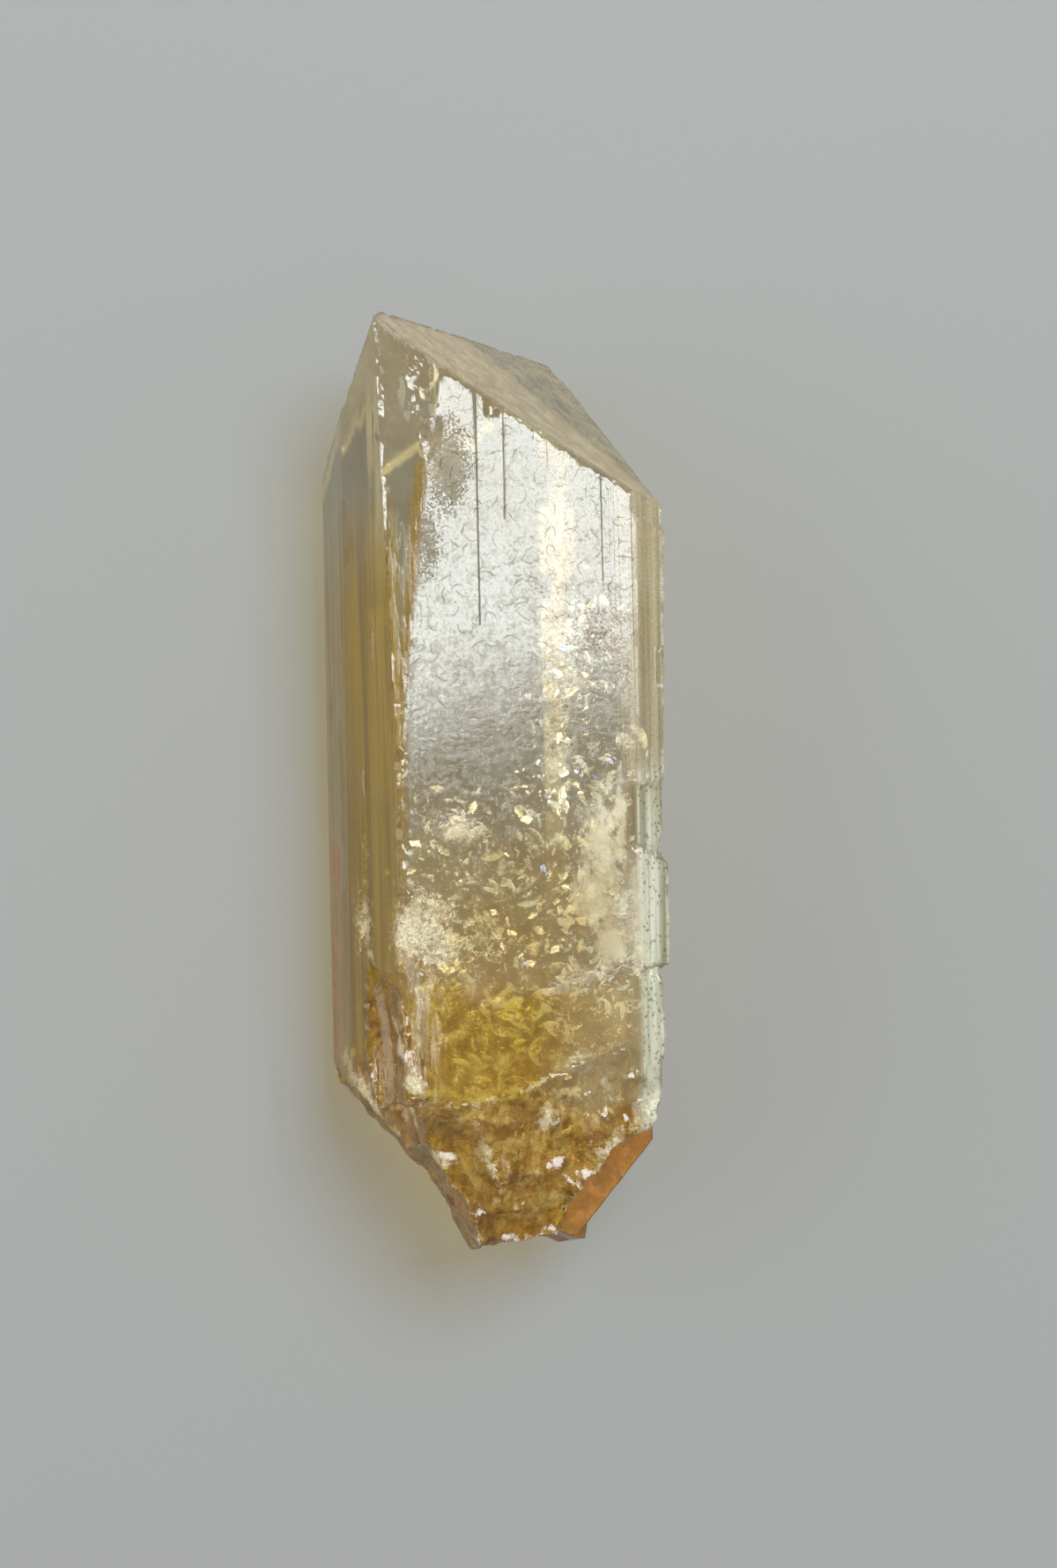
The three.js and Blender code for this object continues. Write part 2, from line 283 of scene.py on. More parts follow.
def scoop(skin, place, opens, runs, across, along, depth):
    """Cuts a shallow shell-shaped hollow of a half width, half length and depth. Gives the points cut."""
    aim = np.array(opens, float) / np.linalg.norm(opens)
    line = np.array(runs, float) - aim * (np.array(runs, float) @ aim)
    line /= np.linalg.norm(line)
    side = np.cross(line, aim)
    off = skin.points - np.array(place)
    high = off @ aim
    beside = np.hypot(off @ side, off @ line)
    under = (beside < 0.45) & (np.abs(high) < 2) & (skin.out @ aim > 0.2)
    lift = high[under].mean() if under.any() else 0.0
    bend = (across ** 2 + depth ** 2) / (2 * depth)
    u, v, w = off @ side / bend, off @ line / (bend * along / across), (high - lift - bend + depth) / bend
    low = -np.sqrt(np.maximum(1 - u * u - v * v, 0))
    close = np.linalg.norm(off, axis=1) < 1.3 * max(across, along) + depth
    cut = np.nonzero(close & (u * u + v * v < 1) & (w > low) & (w < 1) & (skin.out @ aim > -0.1))[0]
    skin.points[cut] -= ((w - low)[cut] * bend)[:, None] * aim
    return cut


def scoop_hollows(skin, broken):
    for place, opens, runs, across, along, depth in SCOOPS:
        cut = scoop(skin, place, opens, runs, across, along, depth)
        broken[cut] = np.maximum(broken[cut], 0.45 if along > LONG_HOLLOW else 1.0)
        skin.refresh()


def cut_chips(skin, corners, count, seed):
    """Small shell-shaped chips knocked off the edges, longer along an edge than across it."""
    draw = random.Random(seed)
    for _ in range(count):
        at = corners[draw.randrange(len(corners))]
        opens = skin.out[at] + np.array([draw.uniform(-0.3, 0.3) for _ in range(3)])
        runs = np.array([draw.uniform(-0.35, 0.35), 1.0, draw.uniform(-0.35, 0.35)])
        across = 0.15 + 0.26 * draw.random() ** 2
        along = across * draw.uniform(1.0, 2.2)
        scoop(skin, skin.points[at].copy(), opens, runs, across, along, across * draw.uniform(0.1, 0.24))
    skin.refresh()


def corner_points(skin, broken):
    """Points on the sharp edges between the natural faces, but not on the overgrown right side."""
    bend = np.ones(len(skin.points))
    a, b = skin.edges.T
    turn = np.einsum("ij,ij->i", skin.out[a], skin.out[b])
    np.minimum.at(bend, a, turn)
    np.minimum.at(bend, b, turn)
    sharp = (bend < 0.985) & (broken < 0.3) & (skin.points[:, 2] > 0.8) & (skin.points[:, 0] < 7.5)
    return np.nonzero(sharp)[0]


def grow_lines(skin, broken):
    """Low growth lines along the prism's side faces, and hillocks on the faces of the tip."""
    points = skin.points
    lines = grain(points, np.array([0.8, 14, 0.8]), 61) + 0.5 * grain(points, np.array([0.45, 9, 0.45]), 67)
    pits = np.minimum(grain(points, 0.7, 71) + 0.2, 0)
    hills = layered(points, (3.0, 3.0, 3.0), 81, 3)
    depth = 0.035 * on_any(skin, SIDE_FACES) * lines
    depth += on_any(skin, LINED_FACES) * (0.05 * lines + 0.12 * pits)
    depth += 0.025 * on_any(skin, TIP_FACES) * hills
    skin.push((1 - broken) * depth)


body = even_skin(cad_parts["danburite_crystal"])
skin = Skin(body.data)
broken = broken_share(skin)
corners = corner_points(skin, broken)
roughen_breaks(skin, skin.spread(broken, 1))
grow_lines(skin, broken)
scoop_hollows(skin, broken)
cut_chips(skin, corners, CHIPS, seed=5)
body.data.set_sharp_from_angle(angle=CORNER_ANGLE)
for face in body.data.polygons:
    face.use_smooth = True


# Where the finishes lie

points = skin.points
x, y, z = points.T
wander = layered(points, (3.0, 3.0, 3.0), 101, 4)


def along(line, wide):
    """A soft band along a line: 1 in its middle, 0 from twice `wide` mm off it."""
    return np.clip(1 - line_distance(points, line) / (2 * wide), 0, 1)


def patch(centre, radii):
    """A soft patch round a point: 1 in its middle, 0 from twice its radii."""
    return np.clip(1 - np.linalg.norm((points - np.array(centre)) / np.array(radii), axis=1) / 2, 0, 1)


# Bright crushed edges and healed cuts: the line, how far they reach to each side, and how white they are.
WHITE_LINES = [
    ([(-10, -12.6, 14.5), (-9.2, -15.6, 15.7), (-8.7, -17.8, 16.8), (-8.2, -21.2, 20), (-7.7, -22, 20),
      (-7.4, -24.7, 17), (-6.1, -27, 16.7), (-5.5, -27.8, 18.4)], 0.4, 1.0),
    ([(-11.2, -20, 8.6), (-10.7, -21.8, 11.5), (-10, -23.5, 13), (-8.8, -26, 14)], 0.8, 0.85),
    ([(10, -24, 19.1), (8.4, -25.2, 19), (7.2, -26.4, 18.9), (6, -27.7, 18.7)], 0.5, 0.9),
    ([(-7.7, -23.4, 19.8), (-5.2, -23.6, 19.6), (-3.6, -23.4, 19.8)], 0.3, 0.9),
    ([(-3.6, -23.4, 19.8), (-0.5, -23.1, 19.9), (1.9, -21.8, 19.9), (3.8, -20.6, 19.9),
      (8.1, -19.2, 19.9)], 0.22, 0.75),
    ([(-3.2, -23.6, 19.6), (-2.6, -25.5, 19.3), (-2.2, -27.2, 19.0), (-1.4, -29.2, 18.7)], 0.4, 0.8),
    ([(2.1, -24.2, 19.3), (1.5, -26, 19.1), (1.0, -27.6, 18.9)], 0.45, 1.0),
    ([(0.9, -28.8, 18.8), (2.4, -28.4, 18.8), (4.0, -28.8, 18.7)], 0.3, 0.8),
    ([(6.2, -22.2, 19.5), (7.4, -23.4, 19.3), (7.9, -25, 19)], 0.4, 0.7),
    ([(0.4, -29.4, 18.4), (0.0, -31.2, 18.0), (2.6, -31.6, 17.4), (4.6, -30.6, 17.2)], 0.35, 0.7),
    ([(4.2, -30.0, 17.9), (3.2, -32.2, 16.6), (2.4, -33.4, 16.0)], 0.4, 0.8),
    ([(-7.6, -27.6, 14.5), (-6.2, -28.0, 17.0), (-5.0, -29.6, 17.6)], 0.4, 0.8),
    ([(6, -27.7, 18.7), (6.2, -30.4, 16), (4.6, -32.3, 14), (2.9, -33, 17)], 0.45, 0.8),
    ([(2.6, -15.5, 20), (4.6, -14.7, 20), (6.6, -14.6, 20), (8.3, -13.7, 20),
      (10.5, -14.6, 19.3)], 0.4, 0.75),
    ([(8, -9, 20), (8.1, -10.8, 20), (8.6, -12.5, 20), (9.8, -13.6, 19.6)], 0.5, 0.7),
    ([(-10.4, -4, 14), (-10.3, -8, 13.8), (-9.7, -11, 15)], 0.35, 0.5),
    ([(-8.2, 30.5, 19), (-3.3, 30.5, 19.6)], 0.3, 0.35),
]
# Bright crushed spots: middle, radii and how white they are.
WHITE_SPOTS = [
    ((-7.6, -10.9, 19.6), (1.7, 1.9, 1.8), 1.0), ((-6.2, -12.6, 20), (1.2, 0.9, 0.8), 0.9),
    ((-10.3, -10.4, 13.6), (1.0, 2.2, 1.4), 0.85), ((-10.3, -5.6, 14.2), (0.7, 1.8, 1.1), 0.4),
    ((-4.2, -3.6, 20), (1.3, 0.8, 0.6), 0.3), ((-6.8, -15.4, 20), (0.8, 2.0, 0.6), 0.4),
    ((-6.0, -18.5, 20), (0.6, 1.4, 0.6), 0.4), ((8.1, -10.2, 20), (0.8, 1.0, 0.6), 0.45),
]
GOLD_EDGE = [(-6.4, 22.5, 19.9), (-7.3, 14, 19.9), (-8.2, 6, 19.9), (-8.4, -4, 19.9)]
RUST_EDGE = [(-11.3, -5.7, 7), (-11.4, -13, 6), (-11.4, -20, 5.5)]
# Dull patches on the front, rougher and painted darker brown as breaks in the reflection: middle, radii and
# how dull they are.
DULL_SPOTS = [
    ((-4.4, 22.5, 20), (1.5, 3.0, 1.5), 1.0), ((-6.0, 17.0, 20), (0.9, 3.0, 1.5), 0.8),
    ((6.0, 10.0, 20), (2.2, 3.6, 1.5), 0.5), ((1.5, 14.0, 20), (1.8, 1.2, 1.5), 0.5),
]


def crushed_share(slab, heel, low_break):
    """Bright crushed crystal, on the ridges of the breaks and along the lines and spots above."""
    rise = np.einsum("ij,ij->i", points - skin.spread(points.copy(), 1), skin.out)
    ridges = skin.spread(smooth(rise, 0.006, 0.035), 1)
    share = strongest(0.75 * ridges * low_break, 0.16 * low_break)
    torn = smooth(layered(points, (1.3, 1.3, 1.3), 211, 3), -0.55, 0.35)
    for line, wide, strength in WHITE_LINES:
        share = np.maximum(share, strength * (0.42 + 0.58 * torn) * along(line, 1.25 * wide))
    for centre, radii, strength in WHITE_SPOTS:
        share = np.maximum(share, strength * patch(centre, radii))
    return share * (1 - 0.9 * slab * smooth(14.5 - z, 0, 1.5)) * (1 - 0.8 * heel)


def gold_share(heel):
    """Honey gold: the left faces, the front's left edge and the lower end, which grows deeper to the base."""
    left = smooth(24 + 2 * wander - y, 0, 12) * smooth(-x, 7.7, 8.9)
    low_front = smooth(-12.5 - y + 1.6 * wander, 0, 4) * (0.35 + 0.65 * smooth(6.0 + 1.5 * wander - x, 0, 5))
    middle = smooth(2 - y + 3 * wander, 0, 14) * (1 - smooth(x, 3, 9))
    base = smooth(-22.5 - y + 1.6 * wander, 0, 5)
    edge = along(GOLD_EDGE, 0.35)
    share = strongest(left, 0.9 * edge, 0.95 * low_front, 0.45 * middle, 1.2 * heel, 1.4 * base)
    return share * (1 - 0.6 * smooth(-x + 0.25 * wander, 11.1, 11.5))


def rust_share(slab):
    right_back = smooth(x, 9.5, 11.0) * smooth(-16 - y, 0, 5) * smooth(11 - z, 0, 3)
    streak = smooth(1 - line_distance(points, RUST_EDGE) / 2.6 + 0.45 * wander, 0.05, 1.0)
    return strongest(slab, right_back, streak, 0.35 * patch((-8.1, -24.3, 16.4), (0.8, 1.4, 0.9)))


def near_tip_share():
    """The one of the two nearly level faces of the tip that is next to the front. The finishes paint it paler
    than the face beside it, as painted light.
    """
    (turn, lean, reach), (near_turn, near_lean, near_reach) = FACES["tip strip"], FACES["tip wide"]
    over = (points - MIDDLE) @ (aim_of(turn, lean) - aim_of(near_turn, near_lean)) - reach + near_reach
    return smooth(over, 0.01, -0.01) * skin.spread(on_any(skin, ["tip wide"], 0.5), 1)


def lay_masks():
    """Notes on each point how much it has of every finish."""
    slab = slab_share(points)
    heel = patch((-9.4, -19.8, 15), (1.0, 3.4, 1.6))
    low_break = skin.spread(broken, 2) * (1 - smooth(y, -6, 4))
    rust = rust_share(slab)
    lined = smooth(x, 8.7, 9.3) * (0.55 + 0.45 * smooth(2 - y + 2 * wander, 0, 4)) * (1 - rust)
    front = skin.spread(on_any(skin, ["front"]), 1)
    bevel = skin.spread(on_any(skin, ["bevel"], 0.2), 1) * smooth(21 - y, 0, 6)
    shell_low = patch((-6.8, -18.0, 20), (0.9, 3.2, 1.5))
    shell_left = patch((-9.9, -23.4, 13.4), (1.0, 2.4, 1.0))
    low, right = smooth(1.5 - y + 1.5 * wander, 0, 5), smooth(x - 0.5 * wander, 2, 5) * smooth(13 - y, 0, 4)
    masks = {
        "broken": broken,
        "bruise": crushed_share(slab, heel, low_break),
        "honey": gold_share(heel),
        "rust": rust,
        "frost": strongest(lined, 0.55 * skin.spread(on_any(skin, TIP_FACES, 0.5), 1)),
        "dull": strongest(*[strength * patch(centre, radii) for centre, radii, strength in DULL_SPOTS]),
        "hatch": strongest(bevel, 1.6 * shell_low, 1.4 * shell_left),
        "front": front,
        # The tip strip, painted paler than the tip face beside it as painted light.
        "strip": near_tip_share(),
        "inner": strongest(front, 0.35 * low_break) * strongest(low, right),
        # The front's upper part, which reflects the lamp: the hairs are painted dark there, as breaks in the
        # reflection.
        "hairy": front * smooth(y + 0.6 * wander, -4, 3),
    }
    for name, value in masks.items():
        skin.note(name, value)


lay_masks()


# What lies under the faces

def marks_under_faces():
    """Crushed white edges, rust and colour zones, as one thin closed layer just under the faces."""
    bm = bmesh.new()
    bm.from_mesh(body.data)
    layers = [bm.verts.layers.float[name] for name in ("bruise", "rust", "honey", "frost", "inner")]
    plain = [f for f in bm.faces if max(v[layer] for v in f.verts for layer in layers) < MARK_LEAST]
    for v in bm.verts:
        v.co -= v.normal * MARK_DEPTH
    bmesh.ops.delete(bm, geom=plain, context="FACES")
    mesh = bpy.data.meshes.new("marks_under_faces")
    bm.to_mesh(mesh)
    bm.free()
    piece = show(mesh, "marks_under_faces")
    piece.modifiers.new("fewer faces", "DECIMATE").ratio = MARK_SHARE
    bm = bmesh.new()
    bm.from_mesh(shown_mesh(piece))
    bm.normal_update()
    outward = {v: v.normal.copy() for v in bm.verts}
    rim = [e for e in bm.edges if e.is_boundary]
    lower = bmesh.ops.duplicate(bm, geom=bm.verts[:] + bm.edges[:] + bm.faces[:])
    partner = lower["vert_map"]
    bmesh.ops.reverse_faces(bm, faces=[g for g in lower["geom"] if isinstance(g, bmesh.types.BMFace)])
    for v in outward:
        partner[v].co = v.co - outward[v] * MARK_THICK
    for e in rim:
        a, b = e.verts
        if e.link_loops[0].vert is a:
            a, b = b, a
        bm.faces.new((a, b, partner[b], partner[a]))
    bm.to_mesh(mesh)
    bm.free()
    return piece


def closed_sheet(grid, thick):
    """Points and faces of a thin closed sheet. `grid` is rows by columns by x, y, z."""
    rows, columns = grid.shape[:2]
    out = np.cross(np.gradient(grid, axis=0), np.gradient(grid, axis=1))
    out /= np.maximum(np.linalg.norm(out, axis=2, keepdims=True), 1e-9)
    both = np.concatenate([(grid + out * thick / 2).reshape(-1, 3), (grid - out * thick / 2).reshape(-1, 3)])
    half = rows * columns
    faces = []
    for i, j in np.ndindex(rows - 1, columns - 1):
        a, d = i * columns + j, (i + 1) * columns + j
        faces += [(a, d, d + 1, a + 1), (a + half, a + 1 + half, d + 1 + half, d + half)]
    rim = [i * columns for i in range(rows)] + [(rows - 1) * columns + j for j in range(1, columns)]
    rim += [i * columns + columns - 1 for i in range(rows - 2, -1, -1)] + list(range(columns - 2, 0, -1))
    for a, b in zip(rim, rim[1:] + rim[:1]):
        faces.append((a, b, b + half, a + half))
    return both, faces


class Gathered:
    """Collects points and faces, with one number for each point, into one mesh."""

    def __init__(self):
        self.points, self.faces, self.share = [], [], []

    def add(self, more, faces, share):
        start = len(self.points)
        self.points += [tuple(p) for p in more]
        self.faces += [tuple(start + i for i in f) for f in faces]
        self.share += list(share)

    def add_sheet(self, grid, share, thick):
        sheet, faces = closed_sheet(grid, thick)
        self.add(sheet, faces, np.tile(share.ravel(), 2))

    def piece(self, name, share_name):
        mesh = bpy.data.meshes.new(name)
        mesh.from_pydata((np.array(self.points) + HEART).tolist(), [], self.faces)
        mesh.validate()
        mesh.attributes.new(share_name, "FLOAT", "POINT").data.foreach_set("value", np.clip(self.share, 0, 1))
        return show(mesh, name)


OUTSIDE = BVHTree.FromPolygons([tuple(p) for p in points], [tuple(f.vertices) for f in body.data.polygons])
FAR_OFF = 40
BESIDE_TOP, BESIDE_LOW = 14.0, 4.0  # heights taken where a sheet runs past the crystal


def surface_height(px, py, side):
    """Height of the surface over a point, met from above (side 1) or below (side -1), or None beside it."""
    hit = OUTSIDE.ray_cast(Vector((px, py, FAR_OFF * side)), Vector((0, 0, -side)))[0]
    return None if hit is None else hit.z


def front_height(px, py):
    return surface_height(px, py, 1)


def back_height(px, py):
    return surface_height(px, py, -1)


# Milky veils: middle, depth under the front, width and length, how white, and the seed of their folds.
VEILS = [
    (6.4, -5.5, 0.5, 5.2, 16.0, 0.85, 1), (7.8, -3.2, 0.25, 1.1, 9.5, 1.15, 2),
    (-4.0, -3.8, 0.4, 3.6, 2.4, 1.0, 3), (3.4, 1.6, 1.8, 5.0, 5.0, 0.55, 4),
    (4.4, 7.0, 1.4, 3.0, 8.0, 0.5, 5), (-6.4, -16.5, 0.6, 2.0, 7.0, 0.8, 6),
    (-2.3, -26.0, 1.0, 1.8, 6.0, 0.8, 7), (1.4, -26.8, 0.9, 1.6, 4.5, 0.9, 8),
    (4.6, -24.8, 1.2, 3.4, 4.0, 0.7, 9), (4.4, -20.6, 1.4, 7.0, 3.0, 0.7, 10),
    (-1.2, -20.4, 1.0, 5.0, 3.0, 0.7, 11), (-1.0, -9.0, 3.5, 9.0, 9.0, 0.3, 12),
    (7.0, -12.2, 0.35, 4.0, 4.4, 1.0, 13), (-5.4, -22.6, 1.2, 4.0, 2.6, 0.7, 14),
    (0.4, -30.0, 1.5, 5.0, 2.6, 0.6, 15), (-3.2, -14.6, 2.0, 4.0, 5.0, 0.45, 16),
    (2.0, -12.0, 1.6, 4.0, 4.0, 0.4, 17), (-9.4, -8.0, 5.4, 1.4, 5.0, 0.6, 18),
    (-0.8, -6.4, 1.2, 2.0, 2.6, 0.5, 19), (5.4, -9.0, 0.5, 4.4, 6.5, 0.85, 20),
    (3.0, -29.4, 1.6, 3.0, 3.4, 0.8, 21),
]
# Healed cracks that stand in the crystal: the line along the front, how deep they go, how far they lean
# to the base, and how white they are.
CRACKS = [
    ([(-7.7, -23.2), (-5.2, -23.4), (-3.0, -23.4), (-0.5, -23.1), (1.9, -21.8), (3.8, -20.6),
      (6.2, -20.0), (8.1, -19.2)], 9.0, 2.6, 0.8),
    ([(2.6, -15.6), (3.4, -14.9), (4.6, -14.8), (5.4, -14.2), (6.6, -14.6), (7.6, -13.8),
      (8.8, -14.2)], 2.6, 0.5, 0.95),
    ([(-8.3, -13.0), (-7.4, -15.4), (-6.7, -18.2), (-6.0, -21.0), (-5.4, -23.2)], 2.2, 0.3, 0.7),
    ([(1.2, -24.4), (0.9, -26.4), (1.5, -28.6)], 2.0, 0.2, 0.8),
    ([(-2.6, -24.0), (-2.2, -26.4), (-2.9, -28.8), (-2.3, -30.2)], 2.4, 0.3, 0.7),
    ([(5.9, -28.4), (3.6, -28.2), (1.6, -28.8)], 2.0, 0.5, 0.7),
    ([(7.9, 12.0), (8.2, 6.0), (8.3, 0.5)], 0.8, 0.0, 0.5),
    ([(6.1, -0.9), (7.8, -0.4), (9.4, -0.3)], 0.8, 0.1, 0.8),
    ([(-8.9, -2.5), (-7.4, -2.6), (-5.6, -3.2)], 0.7, 0.2, 0.7),
]
VEIL_STEPS = 18
VEIL_THICK = 0.03
CRACK_ROWS = 9
CRACK_STEP = 0.25
CRACK_THICK = 0.04


def milky_veil(mx, my, depth, wide, long, white, seed):
    """A folded sheet under the front, as a grid of points and how white it is at each."""
    draw = random.Random(900 + seed)
    tilt_x, tilt_y = draw.uniform(-0.3, 0.3), draw.uniform(-0.12, 0.12)
    steps = np.linspace(-0.5, 0.5, VEIL_STEPS)
    u, v = np.meshgrid(steps, steps, indexing="ij")
    grid = np.stack([mx + u * wide, my + v * long, np.full_like(u, seed * 7.0)], axis=-1)
    folds = layered(grid.reshape(-1, 3), (1.6, 2.2, 1), seed, 3).reshape(u.shape)
    down = depth + 0.35 * folds + tilt_x * u * wide + tilt_y * v * long
    for i, j in np.ndindex(u.shape):
        top = front_height(*grid[i, j, :2])
        if top is None:
            return None, None
        grid[i, j, 2] = top - max(down[i, j], 0.2)
    return grid, white * np.clip(1.25 - 2.2 * np.hypot(u, v), 0, 1)


def standing_crack(line, deep, lean, white):
    """A ragged sheet down from a line along the front, as a grid of points and how white it is at each."""
    line = np.array(line, float)
    spans = np.r_[0, np.cumsum(np.linalg.norm(np.diff(line, axis=0), axis=1))]
    count = max(int(spans[-1] / CRACK_STEP), 6)
    at = np.linspace(0, spans[-1], count)
    cx, cy = np.interp(at, spans, line[:, 0]), np.interp(at, spans, line[:, 1])
    part = np.tile(np.linspace(0, 1, CRACK_ROWS), (count, 1))
    grid = np.stack([cx[:, None] + 0 * part, cy[:, None] - lean * part, deep * part], axis=-1)
    rag = layered(grid.reshape(-1, 3), (0.9, 0.9, 1.6), int(deep * 10), 3).reshape(part.shape)
    grid[..., 1] += 0.22 * rag
    grid[..., 0] += 0.14 * np.roll(rag, 3, axis=0)
    for i, j in np.ndindex(part.shape):
        top, low = front_height(*grid[i, j, :2]), back_height(*grid[i, j, :2])
        top, low = (BESIDE_TOP, BESIDE_LOW) if top is None else (top, low)
        grid[i, j, 2] = max(top - 0.12 - grid[i, j, 2], low + 0.2)
    return grid, white * (1 - 0.75 * part)


def veils():
    """Milky veils and healed cracks."""
    made = Gathered()
    for veil in VEILS:
        grid, share = milky_veil(*veil)
        if grid is not None:
            made.add_sheet(grid, share, VEIL_THICK)
    for crack in CRACKS:
        made.add_sheet(*standing_crack(*crack), CRACK_THICK)
    return made.piece("veils_and_healed_cracks", "white")


# Fields of small curved cracks: middle, half width, half length, how many, nearest and deepest under the
# front, smallest and largest, how white.
CRACK_FIELDS = [
    (-2.2, -9.5, 5.6, 9.0, 300, 0.15, 4.5, 0.14, 1.3, 0.85),
    (5.8, -6.0, 3.0, 9.0, 170, 0.12, 2.0, 0.14, 1.4, 0.9),
    (-2.0, -19.5, 5.6, 4.4, 190, 0.15, 2.6, 0.16, 1.6, 1.0),
    (1.0, -27.5, 6.0, 5.0, 120, 0.15, 2.6, 0.2, 2.2, 1.0),
    (6.5, -15.0, 3.0, 2.4, 70, 0.12, 1.4, 0.25, 1.0, 1.0),
    (3.6, 5.5, 2.6, 6.5, 60, 0.15, 2.2, 0.25, 1.0, 0.8),
    (-7.4, -11.5, 1.2, 3.0, 40, 0.12, 1.2, 0.25, 0.9, 1.0),
    (6.3, 9.5, 1.6, 4.0, 36, 0.12, 1.4, 0.25, 0.9, 0.9),
    (-4.2, -3.6, 1.4, 1.0, 26, 0.15, 0.9, 0.3, 1.0, 0.9),
    (-6.4, -17.0, 0.9, 4.0, 40, 0.12, 0.9, 0.2, 0.8, 1.0),
]
# Single curved cracks and chip rims: place, depth under the front, size, the way it faces (degrees), half its
# sweep.
CRACK_ARCS = [
    (-6.1, 29.4, 0.12, 1.35, 172, 0.95), (-5.4, 28.2, 0.12, 0.9, 20, 0.8), (-2.3, -22.0, 0.5, 1.4, 60, 1.0),
    (-0.6, -21.6, 0.6, 1.2, 100, 1.1), (-4.6, -21.4, 0.4, 1.3, 250, 0.9), (1.8, -19.8, 0.7, 1.1, 40, 1.2),
    (0.4, -28.0, 0.4, 1.0, 300, 1.0), (2.4, -26.2, 0.5, 1.4, 110, 0.8), (-3.4, -32.0, 0.3, 0.9, 130, 1.1),
]
ARC_STEPS, ARC_ROWS = 8, 4
ARC_THICK = 0.02
LEAST_COVER = 0.09  # how deep a curved crack stays under the front, at least
PLATE_CHANCE = 0.16
PLATE_BULGE = 0.02
UP = Vector((0, 0, 1))


def curved_sheet(centre, size, turn, half, bow, aim):
    """A small curved sheet that opens from a middle point, with its rim in the last column of the grid."""
    sweep, part = np.linspace(-half, half, ARC_STEPS), np.linspace(0.3, 1, ARC_ROWS)
    angle, reach = np.meshgrid(sweep, part * size, indexing="ij")
    flat = [reach * np.cos(angle + turn), reach * np.sin(angle + turn), -bow * reach ** 2 / size]
    basis = np.array(aim.to_track_quat("Z", "Y").to_matrix())
    grid = np.array(centre) + np.stack(flat, axis=-1) @ basis.T
    for i, j in np.ndindex(angle.shape):
        top = front_height(*grid[i, j, :2])
        if top is None:
            return None, None
        grid[i, j, 2] = min(grid[i, j, 2], top - LEAST_COVER)
    out, side = np.linspace(0, 1, ARC_ROWS)[None, :], np.linspace(-1, 1, ARC_STEPS)[:, None]
    return grid, (out ** 1.4) * (1 - side * side)


def flat_plate(draw, centre, size, aim):
    """A flat flake with a few corners, thin as a lens."""
    turned = aim.to_track_quat("Z", "Y")
    sides = draw.randrange(4, 8)
    ring = []
    for k in range(sides):
        angle = 2 * math.pi * (k + draw.uniform(-0.3, 0.3)) / sides
        reach = size * draw.uniform(0.5, 1.3)
        ring.append(centre + turned @ Vector((reach * math.cos(angle), 0.6 * reach * math.sin(angle), 0)))
    faces = []
    for k in range(sides):
        faces += [(k, (k + 1) % sides, sides), ((k + 1) % sides, k, sides + 1)]
    return ring + [centre + aim * PLATE_BULGE, centre - aim * PLATE_BULGE], faces


def curved_cracks():
    """Small curved cracks inside, each brightest along its outer rim."""
    draw = random.Random(311)
    made = Gathered()
    for mx, my, half_wide, half_long, count, near, deep, small, large, white in CRACK_FIELDS:
        for _ in range(count):
            px, py = mx + draw.uniform(-half_wide, half_wide), my + draw.uniform(-half_long, half_long)
            size = small + (large - small) * draw.random() ** 2.5
            top, low = front_height(px, py), back_height(px, py)
            if top is None or top - low < 4:
                continue
            centre = Vector((px, py, top - near - (deep - near) * draw.random() ** 2 - 0.3 * size))
            if OUTSIDE.find_nearest(centre)[3] < 0.3 * size + 0.08:
                continue
            aim = Vector((draw.gauss(0, 0.35), draw.gauss(0, 0.35), 1)).normalized()
            turn, half, bow = draw.uniform(0, 2 * math.pi), draw.uniform(0.5, 1.2), draw.uniform(0.1, 0.5)
            grid, share = curved_sheet(centre, size, turn, half, bow, aim)
            if grid is None:
                continue
            made.add_sheet(grid, share * white * draw.uniform(0.6, 1.2), ARC_THICK)
            if draw.random() < PLATE_CHANCE:
                plate, faces = flat_plate(draw, centre, 0.6 * size, aim)
                made.add(plate, faces, [white * draw.uniform(0.25, 0.8)] * len(plate))
    for px, py, depth, size, facing, half in CRACK_ARCS:
        centre = Vector((px, py, front_height(px, py) - depth))
        grid, share = curved_sheet(centre, size, math.radians(facing), half, 0.1, UP)
        if grid is not None:
            made.add_sheet(grid, share, ARC_THICK)
    return made.piece("curved_cracks", "white")


# Bright flakes with rainbow colours near the front: place, depth, size and where on the run of colours.
RAINBOWS = [
    (7.1, 1.1, 0.3, 0.42, 0.93), (6.9, 1.6, 0.3, 0.3, 0.86), (6.1, -0.1, 0.35, 0.24, 1.0),
    (4.6, 0.4, 0.4, 0.26, 0.9), (3.9, 9.4, 0.3, 0.5, 0.99), (3.4, 7.6, 0.3, 0.42, 0.3),
    (4.9, -1.2, 0.4, 0.4, 0.2), (2.0, -6.6, 0.4, 0.42, 0.97), (3.6, -8.0, 0.4, 0.4, 0.1),
    (-7.3, -4.6, 0.3, 0.62, 0.1), (-1.6, -9.7, 0.3, 0.5, 0.2), (0.6, -13.5, 0.5, 0.3, 0.93),
]
# Where the bright flakes gather: middle and spread along x and y.
GLINT_CLUSTERS = [
    (2.6, -1.0, 3.4, 3.0), (-2.0, -5.0, 4.0, 3.0), (-1.5, -12.0, 4.5, 3.4), (3.0, -9.0, 4.0, 4.0),
    (-2.0, -17.5, 4.0, 3.0), (4.6, 6.0, 2.0, 4.0), (2.0, -24.5, 4.5, 3.0), (-5.0, -14.5, 1.8, 3.0),
    (5.5, 11.5, 2.4, 3.0), (-9.0, -20.0, 1.0, 5.0),
]
GLINT_TRIES = 700
PLAIN_TINTS = 0.93  # the run of colours is rainbow from here on
RAINBOW_AIM = Vector((0.03, 0.05, 1)).normalized()


